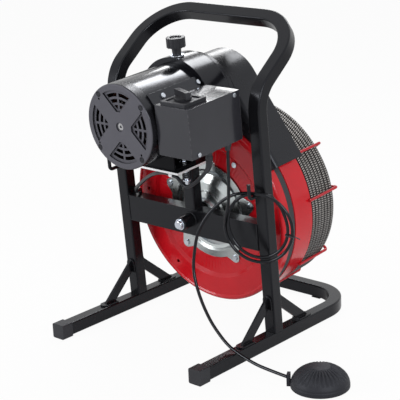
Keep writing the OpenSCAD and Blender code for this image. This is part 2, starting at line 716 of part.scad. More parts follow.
module switch_knob() color(rubber) leaning() translate([bezel_x, bezel_s, box_top]) {
    translate([0, 0, -3]) cylinder(d = knob_stem, h = bezel_h + 4);
    translate([0, 0, bezel_h - 2 + free]) cylinder(d = 30, h = 5);
    rotate(-20) translate([-21, -5, bezel_h + 3]) cube([42, 10, 12]);
}
module air_switch() color(grey) leaning()
    translate([fitting_x - 26, fitting_s - 16, box_t0 + box_wall + free]) cube([30, 32, 34]);
gland_x = 140;
gland_s = -86;
gland_d = 14;
module lead_gland() color(rubber) leaning() translate([gland_x, gland_s, box_t0]) difference() {
    union() {
        translate([0, 0, -4]) cylinder(d = gland_d + 6, h = 4);
        translate([0, 0, -14]) cylinder(d1 = lead_d + 4, d2 = gland_d, h = 10);
        cylinder(d = gland_d - 2 * run, h = box_wall + 2);
    }
    translate([0, 0, -20]) cylinder(d = lead_d + 2 * run, h = 30);
}
fitting_x = 148;
fitting_s = -44;
fitting_d = 10;
module hose_fitting() color(grey) leaning() translate([fitting_x, fitting_s, box_t0]) {
    translate([0, 0, -5]) cylinder(d = 15, h = 5, $fn = 6);
    translate([0, 0, -12]) cylinder(d = 10, h = 7);
    cylinder(d = fitting_d - 2 * run, h = box_wall + free - run);
}
clip_x = 41;
clip_s = -80;
clip_wall = 1.5;
clip_t = lead_d / 2 + clip_wall;
clip_w = 10;
module lead_clip() color(zinc) leaning() translate([clip_x, clip_s, plate_under - clip_t])
    rotate([0, 90, -14]) difference() {
        union() {
            cylinder(r = clip_t, h = clip_w, center = true);
            translate([-clip_t, 0, -clip_w / 2]) cube([clip_wall, 11, clip_w]);
        }
        cylinder(d = lead_d + 2 * run, h = clip_w + 2, center = true);
    }

// ---- Drum ----
groove_s0 = drum_s + lip_w;
groove_s1 = groove_s0 + groove_w;
band_s1 = groove_s1 + band_w;
groove_r = drum_r - groove_d;
// Steps pressed in the front: the mouth's lip, and the face inside the rim
lip_in = 12;
face_in = 7;
drum_path = concat(
    [[mouth_r, drum_s + lip_in], [mouth_r + 2, drum_s + lip_in],
     [mouth_r + 6, drum_s + face_in], [drum_r - 53, drum_s + face_in],
     [drum_r - 46, drum_s + 1.5], [drum_r - 10, drum_s + 1.5]],
    arc([drum_r - 7, drum_s + 7], 7, -90, 0, 5),
    [[drum_r, groove_s0 - 0.5], [groove_r, groove_s0 + 0.4], [groove_r, groove_s1 - 0.4],
     [drum_r, groove_s1 + 0.5], [drum_r, band_s1], [60, band_s1]]);
hole_r = drum_r - 28;
hole_angles = [173, -127, -7];
module drum_shell() color(red) leaning() difference() {
    along_s() rotate_extrude($fn = 144) polygon(wall_outline(drum_path, -drum_wall));
    for (a = hole_angles) translate([hole_r * cos(a), drum_s - 5, hole_r * sin(a)])
        along_s() cylinder(d = 7, h = 12, $fn = 24);
    along_s() for (p = bolt_places) translate([p[0], -p[1], drum_s])
        cylinder(d = hub_bolt_d + 0.4, h = 12);
}
// The hub: a pressed front with five ears bolted to the drum, on a tube that holds the bearings
hub_wall = 2.5;
hub_s0 = 33;
hub_bore = 42;
hub_tube_r = hub_bore / 2 + 5;
bearing_w = 14;
ear_count = 5;
ear_from = 14;
ear_r = mouth_r + 12;
ear_d = 20;
ear_s = drum_s + face_in;
hub_end = band_s1 + 24;
hub_flange_r = 66;
hub_path = [[hub_tube_r - 2, hub_s0 + 1], [hub_tube_r + 1, hub_s0 + 4], [hub_tube_r + 3, hub_s0 + 11],
    [hub_tube_r + 13, hub_s0 + 13], [hub_tube_r + 16, hub_s0 + 16], [mouth_r - 36, drum_s + 2],
    [mouth_r - 20, drum_s + 9], [mouth_r - 14, drum_s + 8], [mouth_r - 9, ear_s - hub_wall],
    [mouth_r + 4, ear_s - hub_wall]];
module ear_shape() {
    for (i = [0 : ear_count - 1]) rotate(-ear_from - i * 360 / ear_count) hull() {
        translate([ear_r, 0]) circle(d = ear_d, $fn = 32);
        translate([mouth_r - 14, 0]) circle(d = 2.4 * ear_d, $fn = 32);
    }
}
module drum_hub() color(zinc) leaning() along_s() difference() {
    union() {
        rotate_extrude() polygon(wall_outline(hub_path, -hub_wall));
        translate([0, 0, ear_s - hub_wall]) linear_extrude(hub_wall) difference() {
            ear_shape();
            circle(mouth_r - 4);
        }
        translate([0, 0, hub_s0]) cylinder(r = hub_tube_r, h = hub_end - hub_s0);
        translate([0, 0, band_s1 - drum_wall - 3]) cylinder(r = hub_flange_r, h = 3);
    }
    translate([0, 0, hub_s0 - 1]) cylinder(r = axle_d / 2 + 2, h = hub_end - hub_s0 + 2);
    translate([0, 0, hub_s0 + 5]) cylinder(d = hub_bore, h = hub_end - hub_s0);
    for (p = ear_places) translate([p[0], -p[1], ear_s - 2 * hub_wall])
        cylinder(d = hub_bolt_d + 0.4, h = 12);
}
ear_places = [for (i = [0 : ear_count - 1]) let (a = ear_from + i * 360 / ear_count)
    ear_r * [cos(a), sin(a)]];
// The bolt that clamps the cable's inner end inside the drum
anchor_at = (drum_r - 59) * [cos(55), sin(55)];
bolt_places = concat(ear_places, [anchor_at]);
hub_bolt_d = 6;
hub_head_d = 11;
module hub_bolts() color(zinc) leaning() along_s() for (p = bolt_places)
    translate([p[0], -p[1], ear_s - (p == anchor_at ? 0 : hub_wall)]) {
        translate([0, 0, -3]) cylinder(d = hub_head_d, h = 3);
        cylinder(d = hub_bolt_d, h = hub_wall + drum_wall + 6);
        translate([0, 0, (p == anchor_at ? 0 : hub_wall) + drum_wall])
            cylinder(d = hub_head_d, h = 4, $fn = 6);
    }
module bearing_ring() difference() {
    cylinder(d = hub_bore - 2 * run, h = bearing_w);
    translate([0, 0, -1]) cylinder(d = axle_d + 2 * run, h = bearing_w + 2);
}
module drum_bearings() color(steel) leaning() along_s() {
    translate([0, 0, hub_s0 + 5]) bearing_ring();
    translate([0, 0, hub_end - bearing_w]) bearing_ring();
}
bar_r = drum_r + run + bar_d / 2;
bar_angles = [for (i = [0 : 4], a = [8, 36]) a + 72 * i];
ring_r = 96;
bar_in = 12;
module cage_bar() {
    translate([bar_r, 0, band_s1 - 7]) cylinder(d = bar_d, h = cage_back - band_s1 + 7 - bar_d);
    translate([bar_r - bar_d, 0, cage_back - bar_d]) rotate([90, 0, 0])
        rotate_extrude(angle = 90) translate([bar_d, 0]) circle(d = bar_d);
    translate([ring_r - bar_in, 0, cage_back]) rotate([0, 90, 0])
        cylinder(d = bar_d, h = bar_r - bar_d - ring_r + bar_in);
}
module cage_bars() color(red) leaning() along_s()
    for (a = bar_angles) rotate([0, 0, -a]) cage_bar();
ring_wall = 3;
module cage_ring() color(red) leaning() along_s()
    translate([0, 0, cage_back - bar_d / 2 - run - ring_wall]) difference() {
        cylinder(r = ring_r, h = ring_wall);
        translate([0, 0, -1]) cylinder(d = axle_d + 4, h = ring_wall + 2);
    }
cable_r = drum_r - free;
cable_inner = cable_r - cable_layers * cable_d;
module snake_cable() color(steel) leaning() along_s() rotate_extrude($fn = 144) {
    translate([cable_inner, cable_s0 + cable_d / 2])
        square([cable_r - cable_d / 2 - cable_inner, (cable_turns - 1) * cable_d]);
    for (i = [0 : cable_turns - 1])
        translate([cable_r - cable_d / 2, cable_s0 + cable_d * (i + 0.5)])
            circle(d = cable_d + 0.1, $fn = 24);
}
guide_s0 = cage_back - bar_d / 2 - run;
guide_end = cage_back + 30;
module guide_tube() color(zinc) leaning() along_s() difference() {
    union() {
        translate([0, 0, guide_s0]) cylinder(r = ring_r - bar_in - 8, h = 3);
        translate([0, 0, guide_s0]) cylinder(d = 40, h = 12);
        translate([0, 0, guide_s0 + 6]) cylinder(d = 22, h = guide_end - guide_s0 - 6);
    }
    translate([0, 0, guide_s0 - 1]) cylinder(d = axle_d + 4, h = 9);
    translate([0, 0, guide_s0]) cylinder(d = cable_d + 0.5, h = 60);
}
module cable_end() color(steel) leaning() along_s() {
    translate([0, 0, guide_s0 + 9]) cylinder(d = cable_d, h = guide_end - guide_s0 - 4);
    translate([0, 0, guide_end + 5]) cylinder(d = cable_d + 4, h = 12);
}

// ---- Cords ----
// Sweep of a round section along a list of points
function cross_unit(v) = let (w = abs(v[2]) < 0.9 * norm(v) ? [0, 0, 1] : [1, 0, 0])
    unit(cross(v, w));
function along(p, i) = unit(p[min(i + 1, len(p) - 1)] - p[max(i - 1, 0)]);
function frames(p, i = 0, side = undef) = i >= len(p) ? [] :
    let (d = along(p, i), s0 = side == undef ? cross_unit(d) : side,
         s1 = unit(s0 - d * (s0 * d)))
    concat([[s1, cross(d, s1)]], frames(p, i + 1, s1));
module sweep(p, d, sides) {
    f = frames(p);
    n = len(p);
    pts = [for (i = [0 : n - 1], k = [0 : sides - 1]) p[i]
        + d / 2 * (cos(360 * k / sides) * f[i][0] + sin(360 * k / sides) * f[i][1])];
    tube_faces = [for (i = [0 : n - 2], k = [0 : sides - 1]) let (m = (k + 1) % sides)
        [i * sides + k, i * sides + m, (i + 1) * sides + m, (i + 1) * sides + k]];
    polyhedron(pts, concat([[for (k = [sides - 1 : -1 : 0]) k]], tube_faces,
        [[for (k = [0 : sides - 1]) (n - 1) * sides + k]]));
}
// A smooth curve through hand-set points, n steps between each pair
function catmull(p, n) = concat([for (i = [0 : len(p) - 2], j = [0 : n - 1])
    let (u = j / n, a = p[max(i - 1, 0)], b = p[i], c = p[i + 1], e = p[min(i + 2, len(p) - 1)])
    0.5 * (2 * b + (c - a) * u + (2 * a - 5 * b + 4 * c - e) * u * u
        + (3 * b - 3 * c + e - a) * u * u * u)], [p[len(p) - 1]]);
// Air hose: it drops from the fitting, makes its turns on the right-hand hook, and runs to the pedal
coil_c = [180, -59, 240.6];
coil_r = 64.5;
coil_turn = 19;
hose_drop = [[148, -97.5, 389.8], [148, -98, 360], [147, -98, 325], [142, -95, 290],
    [129, -89, 260], [120, -83, 241]];
hose_run = [[180, -60, 305], [150, -68, 303], [120, -76, 290], [90, -86, 262], [70, -97, 225],
    [65, -105, 188], [68, -113, 150], [88, -122, 110], [118, -130, 73], [150, -136, 48],
    [172, -139, 36], [187, -140, 31], [200, -141, 27], [235, -143, 20], [270, -143.5, 17],
    [303.4, -143, 15]];
module air_hose() color(rubber) {
    sweep(catmull(hose_drop, 2), hose_d, 8);
    sweep(catmull(hose_run, 2), hose_d, 8);
}
// Two strands lie one inside the other; where they hang over the hook only the outer one is modelled
strand_gap = 3;
module hose_coil() color(rubber) difference() {
    translate(coil_c) rotate([90, 0, coil_turn]) rotate_extrude()
        translate([coil_r - (hose_d + strand_gap) / 2, 0]) rotate(90)
            tube_shape(hose_d, 2 * hose_d + strand_gap);
    leaning() translate([post_x, -2 * hook_reach, hook_t])
        rotate([-90, 0, 0]) cylinder(d = hook_d + 2 * seat, h = 3 * hook_reach);
}
module tube_shape(w, h) {
    square([w, h - w], center = true);
    for (s = [-1, 1]) translate([0, s * (h - w) / 2]) circle(d = w, $fn = 24);
}
// Pedal: a flat base with the hose's boss, a rubber skirt and a crown that is trodden down
pedal_c = [354, -114, 0];
pedal_base_h = 5;
boss_a = 210;
boss_w = 14;
boss_top = 22;
boss_out = pedal_d / 2 + 6;
crown_r = 28;
skirt_wall = 3;
barb_z = 15;
function dome_r(z) = pedal_d / 2 * sqrt(1 - pow((z - pedal_base_h) / (pedal_h - pedal_base_h), 2));
crown_z = pedal_base_h + (pedal_h - pedal_base_h) * sqrt(1 - pow(2 * crown_r / pedal_d, 2));
function dome_points(z0, z1, inset, n) = [for (i = [0 : n]) let (z = z0 + (z1 - z0) * i / n)
    [max(dome_r(z) - inset, 0), z]];
module pedal_base() color(black) translate(pedal_c) {
    rotate_extrude() polygon([[0, 0], [pedal_d / 2 - 1, 0], [pedal_d / 2, 1],
        [pedal_d / 2, pedal_base_h], [0, pedal_base_h]]);
    rotate(boss_a) difference() {
        translate([pedal_d / 2 - 2, -boss_w / 2, 0])
            cube([boss_out - pedal_d / 2 + 2, boss_w, boss_top]);
        translate([pedal_d / 2 - 6, -boss_w, pedal_base_h]) cube([6 + free, 2 * boss_w, boss_top]);
        translate([0, 0, barb_z]) rotate([0, 90, 0])
            cylinder(d = barb_d + 2 * run, h = boss_out + 1);
    }
}
barb_d = 5;
module hose_barb() color(zinc) translate(pedal_c + [0, 0, barb_z]) rotate(boss_a)
    rotate([0, 90, 0]) translate([0, 0, pedal_d / 2 + 1]) cylinder(d = barb_d, h = boss_out - pedal_d / 2 - 2);
module pedal_skirt() color(rubber) translate(pedal_c) rotate_extrude() polygon(concat(
    dome_points(pedal_base_h, crown_z, 0, 10),
    [for (i = [10 : -1 : 0]) dome_points(pedal_base_h, crown_z, skirt_wall, 10)[i]]));
module pedal_crown() color(rubber) translate(pedal_c) rotate_extrude() polygon(concat(
    dome_points(crown_z, pedal_h, 0, 6), [[0, crown_z]]));
// Mains lead: down from the box through the clip, over the cross member, down behind the
// left post, back along the skid, and a coil behind the drum with the plug at its end
lead_points = [[140, -139.4, 387], [139.5, -138.5, 375], [132, -135.5, 360.2], [114, -130.4, 344.5],
    [95, -129.2, 328], [77, -128.6, 318.6], [66, -128.7, 320.6], [55, -130.5, 331.5],
    [41, -129.7, 334.5], [20, -128, 335], [-10, -118, 327], [-50, -98, 309], [-90, -76, 286],
    [-125, -56, 264], [-143, -36, 249], [-155, -16, 246], [-164, -8, 226], [-180, -3, 165],
    [-191, 2, 110], [-193, 5, 60], [-193, 8, 22], [-193, 16, 6], [-193, 34, 3.6],
    [-193, 90, 3.6], [-193, 160, 3.6], [-194, 215, 3.6], [-195, 270, 3.6],
    [-188.5, 335, 3.6]];
lead_coil_c = [-150, 335];
lead_coil_r = 38.5;
module mains_lead() color(rubber) sweep(catmull(lead_points, 2), lead_d, 8);
module lead_coil() color(rubber) translate([lead_coil_c[0], lead_coil_c[1], lead_d])
    rotate_extrude() translate([lead_coil_r, 0]) square(2 * lead_d, center = true);
plug_at = [-111.5, 298];
plug_w = 24;
plug_len = 30;
plug_h = 22;
relief_len = 13;
module plug() color(rubber) translate([plug_at[0], plug_at[1], 0]) {
    translate([-plug_w / 2, -plug_len, 0]) cube([plug_w, plug_len, plug_h]);
    translate([0, relief_len, lead_d]) rotate([90, 0, 0]) cylinder(d1 = 9, d2 = 13, h = relief_len + 1);
    for (x = [-7, 5.5]) translate([x, -plug_len - 17, 11]) cube([1.5, 18, 6.5]);
    translate([0, -plug_len + 1, 6]) rotate([90, 0, 0]) cylinder(d = 4.8, h = 20);
}

base_tube();
skid_caps();
rear_pads();
handle_tube();
braces();
cross_member();
axle_sleeve();
axle();
axle_bolt();
centre_post();
hooks();
motor_plate();
plate_bolts();
tension_rod();
tension_spring();
motor_cradle();
motor_shell();
end_bell();
bell_screws();
drive_shield();
stator();
motor_hood();
hood_knob();
knob_washer();
belt_guard();
guard_screws();
drive_belt();
rotor();
motor_pulley();
box_base();
box_cover();
box_screws();
box_flange();
flange_screws();
switch_bezel();
switch_knob();
air_switch();
lead_gland();
hose_fitting();
lead_clip();
drum_shell();
drum_hub();
hub_bolts();
drum_bearings();
cage_bars();
cage_ring();
snake_cable();
guide_tube();
cable_end();
air_hose();
hose_coil();
hose_barb();
pedal_base();
pedal_skirt();
pedal_crown();
mains_lead();
lead_coil();
plug();
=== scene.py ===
"""Looks of a drum drain cleaning machine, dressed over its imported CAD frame."""
import json
import math
import random

import bpy
from mathutils import Matrix, Vector


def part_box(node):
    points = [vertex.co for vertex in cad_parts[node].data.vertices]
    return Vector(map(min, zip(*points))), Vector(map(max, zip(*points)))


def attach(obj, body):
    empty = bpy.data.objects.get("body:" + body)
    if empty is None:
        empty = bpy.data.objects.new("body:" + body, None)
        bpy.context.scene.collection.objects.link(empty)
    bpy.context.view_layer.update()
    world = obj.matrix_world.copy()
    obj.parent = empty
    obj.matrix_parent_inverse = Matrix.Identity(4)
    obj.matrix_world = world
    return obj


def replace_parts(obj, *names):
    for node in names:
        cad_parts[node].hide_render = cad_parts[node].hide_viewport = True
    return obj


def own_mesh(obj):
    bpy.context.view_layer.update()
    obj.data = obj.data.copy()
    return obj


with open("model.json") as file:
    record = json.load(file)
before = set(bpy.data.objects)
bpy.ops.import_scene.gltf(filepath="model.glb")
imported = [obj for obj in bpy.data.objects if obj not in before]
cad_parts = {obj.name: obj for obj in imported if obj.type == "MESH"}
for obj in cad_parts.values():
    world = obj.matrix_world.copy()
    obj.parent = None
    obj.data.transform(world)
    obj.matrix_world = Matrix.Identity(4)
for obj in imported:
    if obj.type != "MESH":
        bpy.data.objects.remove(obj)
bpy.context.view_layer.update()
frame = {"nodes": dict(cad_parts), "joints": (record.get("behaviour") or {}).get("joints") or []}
NODES = frame["nodes"]
JOINTS = {j["name"]: j for j in frame["joints"]}
DRUM_AT = Vector(JOINTS["drum_spin"]["pos_m"])
BACK = Vector(JOINTS["drum_spin"]["axis"]).normalized()
UPRIGHT = Vector((0, -BACK.z, BACK.y))
ACROSS = Vector((1, 0, 0))
MM = 0.001
TAU = 2 * math.pi


# ---------------------------------------------------------------- camera
def look_from(azimuth, elevation, distance, target, roll, lens):
    """A camera that looks at target from a compass angle, a height angle and a distance."""
    az, el, turn = (math.radians(a) for a in (azimuth, elevation, roll))
    back = Vector((math.sin(az) * math.cos(el), -math.cos(az) * math.cos(el), math.sin(el)))
    right = Vector((math.cos(az), math.sin(az), 0))
    up = back.cross(right)
    across = right * math.cos(turn) + up * math.sin(turn)
    upward = up * math.cos(turn) - right * math.sin(turn)
    camera = bpy.data.objects.new("studio_camera", bpy.data.cameras.new("studio_camera"))
    bpy.context.scene.collection.objects.link(camera)
    axes = Matrix((across, upward, back)).transposed().to_4x4()
    camera.matrix_world = Matrix.Translation(Vector(target) + back * distance) @ axes
    camera.data.lens = lens
    camera.data.clip_end = 50
    bpy.context.scene.camera = camera


bpy.context.scene.view_settings.view_transform = "Standard"
look_from(azimuth=42.205, elevation=17.225, distance=2.533919,
          target=(0.029214, -0.044979, 0.263441), roll=-2.5, lens=122.29)


# ---------------------------------------------------------------- shader maths
class Sock:
    """A node's output; sums and products on it add Math nodes."""

    def __init__(self, nodes, out):
        self.nodes, self.out = nodes, out

    def maths(self, operation, *others):
        """A Math node on this output and any others."""
        return self.nodes.add("Math", {"operation": operation}, "Value",
                              dict(enumerate((self, *others))))

    def __add__(self, other):
        return self.maths("ADD", other)

    __radd__ = __add__

    def __sub__(self, other):
        return self.maths("SUBTRACT", other)

    def __rsub__(self, other):
        return self.nodes.add("Math", {"operation": "SUBTRACT"}, "Value", {0: other, 1: self})

    def __mul__(self, other):
        return self.maths("MULTIPLY", other)

    __rmul__ = __mul__

    def step(self, low, high):
        """0 below low, 1 above high, smooth between."""
        return self.nodes.add("MapRange", {"interpolation_type": "SMOOTHSTEP"}, "Result",
                              {"Value": self, "From Min": low, "From Max": high})


class Nodes:
    """A tree of nodes, and the one way to add to it."""

    def __init__(self, tree):
        self.tree = tree

    def add(self, kind, settings, output, inputs=None):
        """Any node: its type, its settings, the output wanted, and its sockets."""
        node = self.tree.nodes.new("ShaderNode" + kind)
        for key, value in settings.items():
            setattr(node, key, value)
        for key, value in (inputs or {}).items():
            if isinstance(value, Sock):
                self.tree.links.new(value.out, node.inputs[key])
            else:
                node.inputs[key].default_value = value
        return None if output is None else Sock(self, node.outputs[output])


PAINTED_BLUE_REFLECTION_TINT = (0.86, 0.9, 1.0, 1)  # painted reflection tint: every skin mirrors a little more blue than red, standing in for bluish light around it


class Finish(Nodes):
    """One procedural material, built with few words."""

    def __init__(self, name, **constants):
        self.material = bpy.data.materials.new(name)
        self.material.use_nodes = True
        super().__init__(self.material.node_tree)
        self.shader = self.tree.nodes["Principled BSDF"]
        # The skin's reflections carry the painted blue tint.
        self.shader.inputs["Specular Tint"].default_value = PAINTED_BLUE_REFLECTION_TINT
        for socket, value in constants.items():
            self.shader.inputs[socket.replace("_", " ")].default_value = value
        self.place = self.add("TexCoord", {}, "Object")

    def vary(self, socket, value):
        """Let a value that changes over the skin feed the shader."""
        self.tree.links.new(value.out, self.shader.inputs[socket])

    def dot(self, vector, axis):
        """How far a vector points along an axis."""
        return self.add("VectorMath", {"operation": "DOT_PRODUCT"}, "Value", {0: vector, 1: axis})

    def facing(self, axis):
        """1 where the skin faces along an axis or against it, 0 where it stands square to it."""
        return self.dot(self.add("NewGeometry", {}, "Normal"), tuple(axis)).maths("ABSOLUTE")

    def noise(self, size, detail=3.0, at=None):
        """Soft random spots about size metres across, from 0 to 1."""
        return self.add("TexNoise", {}, "Fac",
                        {"Vector": at or self.place, "Scale": 1 / size, "Detail": detail})

    def stretch(self, x, y, z):
        """The place on the piece, scaled along each axis."""
        return self.add("Mapping", {}, "Vector", {"Vector": self.place, "Scale": (x, y, z)})

    def tint(self, factor, low, high):
        """A colour between two, by a factor."""
        ends = {6: low if isinstance(low, Sock) else (*low, 1), 7: (*high, 1)}
        return self.add("Mix", {"data_type": "RGBA"}, 2, {0: factor, **ends})

    def rounded(self, radius):
        """The normal of the same shape with its sharp edges rounded."""
        return self.add("Bevel", {"samples": 4}, "Normal", {"Radius": radius})

    def edges(self, radius):
        """1 along sharp edges and corners, 0 on flat faces."""
        same = self.dot(self.rounded(radius), self.add("NewGeometry", {}, "Normal"))
        return (1 - same).step(0.01, 0.16)

    def bump(self, height, depth, round_edges=0.0):
        """Relief of depth metres from a height between 0 and 1."""
        inputs = {"Height": height, "Distance": depth}
        if round_edges:
            inputs["Normal"] = self.rounded(round_edges)
        self.vary("Normal", self.add("Bump", {}, "Normal", inputs))


def shade(colour, factor):
    """The same colour, darker or lighter."""
    return tuple(c * factor for c in colour)


def sprayed(name, colour, rough, peel=0.00001, edge=0.0009, coat=0.0, edge_wear_and_highlight=0.35, shine=0.3,
            worn_and_lit_edge=None, pressed=None):
    """Sprayed or baked paint: a faint orange peel, soft blotches, and lighter edges that are partly
    rubbed wear and partly a painted highlight.
    """
    f = Finish(name, Coat_Roughness=0.06, Coat_Weight=coat, Specular_IOR_Level=shine)
    blotch = f.noise(0.045, 4)
    rub_and_edge_highlight = f.edges(edge) * f.noise(0.006, 3).step(0.35, 0.7)
    paint = f.tint(blotch, shade(colour, 0.88), shade(colour, 1.12))
    # Lighter edges: partly rubbed paint, partly a painted highlight along the edges.
    f.vary("Base Color", f.tint(rub_and_edge_highlight * edge_wear_and_highlight, paint, worn_and_lit_edge or shade(colour, 2.6)))
    f.vary("Roughness", rough - 0.04 + f.noise(0.02) * 0.08 + rub_and_edge_highlight * 0.15)
    relief = f.noise(0.0022, 2) * (peel / MM)
    f.bump(relief + pressed(f) if pressed else relief, MM, edge)
    return f.material


DRUM_RIBS = 96
RIB_HEIGHT_MM = 0.14


def pressed_ribs(f):
    """Shallow radial ribs on the drum's front, between its mouth and its first crease."""
    across = f.add("SeparateXYZ", {}, "X", {0: f.place})
    up = f.dot(f.place, tuple(UPRIGHT)) - DRUM_AT.dot(UPRIGHT)
    radius = (across * across + up * up).maths("SQRT")
    belt = radius.step(0.1, 0.106) * (1 - radius.step(0.122, 0.13))
    return (up.maths("ARCTAN2", across) * DRUM_RIBS).maths("SINE") * belt * RIB_HEIGHT_MM


def cast_bell(colour, deep):
    """The motor's end bell: satin on its flat front; on its rim and in its vents, where the skin
    turns away from the front, it is darkened as painted shade.
    """
    f = Finish("grey_violet_cast_paint", Specular_IOR_Level=0.4)
    flat = f.facing(BACK).step(0.35, 0.85)
    paint = f.tint(f.noise(0.045, 4), shade(colour, 0.88), shade(colour, 1.12))
    # Painted shade: the colour darkens where the skin turns away from the front.
    f.vary("Base Color", f.tint(1 - flat, paint, deep))
    f.vary("Roughness", 0.24 + flat * 0.24 + f.noise(0.02) * 0.06)
    f.bump(f.noise(0.0016, 2), 0.00005, 0.0008)
    return f.material


def plated(name, colour, rough, grain=0.00001, tone=(1.0, 1.0, 1.0), cloud_size=0.012):
    """Plated or bare metal: cloudy, with fine rolling marks."""
    f = Finish(name, Metallic=1.0)
    cloud = f.noise(cloud_size, 3)
    f.vary("Base Color", f.tint(cloud, shade(colour, 0.8),
                                tuple(min(1, c * t * 1.12) for c, t in zip(colour, tone))))
    f.vary("Roughness", rough + (cloud - 0.5) * 0.16)
    f.bump(f.noise(0.0012, 3), grain, 0.0006)
    return f.material


def moulded(name, colour, rough, grain=0.00004, size=0.0009, edge=0.0008, shine=0.5):
    """Moulded plastic or rubber with a fine texture."""
    f = Finish(name, Specular_IOR_Level=shine)
    f.vary("Base Color", f.tint(f.noise(0.02, 4), shade(colour, 0.85), shade(colour, 1.2)))
    f.vary("Roughness", rough - 0.05 + f.noise(0.008) * 0.1)
    f.bump(f.noise(size, 2), grain, edge)
    return f.material


def wound_steel():
    """The snake cable's skin: a wire wound round and round, painted dark as shade between the turns
    and in the wire's grooves, and painted bright as highlight on its crowns.
    """
    f = Finish("wound_snake_cable", Metallic=0.8)
    along = f.add("UVMap", {"uv_map": "cable"}, "UV")
    lay = f.add("SeparateXYZ", {}, "X", {0: along})
    clear_of_painted_shade = f.add("SeparateXYZ", {}, "Y", {0: along}).step(0.3, 1.0)
    crown = (lay * TAU).maths("SINE") * 0.5 + 0.5
    soot = f.noise(0.03, 4).step(0.35, 0.75)
    # Painted highlight on the wire's crowns, painted shade in its grooves and between the turns.
    bright = (crown.step(0.2, 0.85) * 0.9 + 0.1) * clear_of_painted_shade
    metal = f.tint(bright, (0.01, 0.009, 0.0085), (0.36, 0.342, 0.325))
    f.vary("Base Color", f.tint(soot * 0.3, metal, (0.045, 0.042, 0.037)))
    f.vary("Roughness", 0.5 - crown * 0.14)
    f.bump(crown, 0.0007)
    return f.material


def jacket(name, colour, rough, shine):
    """A hose's or lead's smooth extruded jacket."""
    f = Finish(name, Specular_IOR_Level=shine)
    f.vary("Base Color", f.tint(f.noise(0.03, 3), shade(colour, 0.8), shade(colour, 1.3)))
    f.vary("Roughness", rough + f.noise(0.01) * 0.08)
    f.bump(f.noise(0.0015, 2), 0.00002)
    return f.material


def metal_and_highlight_edged(name, colour, rough):
    """Black paint on the flats of a sheet that stands square to the posts; its cut edges are pale,
    partly bare metal and partly a painted highlight.
    """
    f = Finish(name, Specular_IOR_Level=0.3)
    metal_and_highlight = 1 - f.facing(UPRIGHT).step(0.4, 0.7)
    # Pale cut edges: partly bare metal, partly a painted highlight.
    f.vary("Base Color", f.tint(metal_and_highlight, colour, (0.85, 0.86, 0.88)))
    f.vary("Metallic", metal_and_highlight * 0.6)
    f.vary("Roughness", rough + metal_and_highlight * 0.25 + f.noise(0.02) * 0.06)
    f.bump(f.noise(0.0022, 2), 0.00002, 0.0008)
    return f.material


def copper_coils():
    """Varnished windings seen through the motor's vents."""
    f = Finish("varnished_windings", Metallic=0.6)
    strands = f.noise(0.0016, 2, f.stretch(1, 0.15, 1))
    f.vary("Base Color", f.tint(strands, (0.05, 0.012, 0.008), (0.3, 0.09, 0.04)))
    f.vary("Roughness", 0.35 + strands * 0.2)
    f.bump(strands, 0.0004)
    return f.material


# The frame's lighter edges are partly wear, partly a painted highlight.
FRAME_PAINT = sprayed("charcoal_frame_enamel", (0.0065, 0.0065, 0.0078), 0.22, edge_wear_and_highlight=0.5, shine=0.25,
                      worn_and_lit_edge=(0.05, 0.05, 0.055))
GLOSS_PAINT = sprayed("gloss_black_enamel", (0.006, 0.006, 0.008), 0.16, shine=0.52)
# The plate's pale cut edges are partly a painted highlight.
PLATE_PAINT = metal_and_highlight_edged("zinc_and_highlight_edged_plate_paint", (0.006, 0.006, 0.007), 0.3)
# A darker, flatter black on parts that sit in shade; its darkness is partly painted shade.
FLAT_BLACK_AND_PAINTED_SHADE = sprayed("flat_black_paint_and_painted_shade", (0.004, 0.004, 0.005), 0.45, shine=0.12)
HOOD_PAINT = sprayed("gloss_hood_paint", (0.006, 0.006, 0.008), 0.15, shine=0.28)
# The second colour is the painted shade on the bell's rim and in its vents.
BELL_PAINT = cast_bell((0.076, 0.074, 0.088), (0.009, 0.009, 0.011))
# The box's light edges are partly wear, partly a painted highlight along its corners.
BOX_PAINT = sprayed("charcoal_box_enamel", (0.024, 0.024, 0.029), 0.2, 0.000006, 0.0012,
                    coat=0.3, edge_wear_and_highlight=0.9, worn_and_lit_edge=(0.2, 0.2, 0.215))
GUARD_PAINT = sprayed("belt_guard_enamel", (0.01, 0.01, 0.012), 0.28)
DRUM_PAINT = sprayed("red_drum_enamel", (0.6, 0.007, 0.014), 0.2, 0.00003, 0.001, 0.15, 0.05,
                     pressed=pressed_ribs)
BAR_PAINT = sprayed("red_bar_enamel", (0.5, 0.012, 0.02), 0.3, 0.00002, 0.0008, 0.1, 0.05)
ZINC = plated("bright_zinc", (0.6, 0.63, 0.67), 0.2, tone=(0.98, 1.0, 1.05))
HUB_ZINC = plated("pressed_zinc_hub", (0.52, 0.56, 0.57), 0.25, 0.000004, (1.02, 1.0, 0.98), 0.06)
CLIP_ZINC = plated("bright_clip_zinc", (0.86, 0.87, 0.88), 0.4)
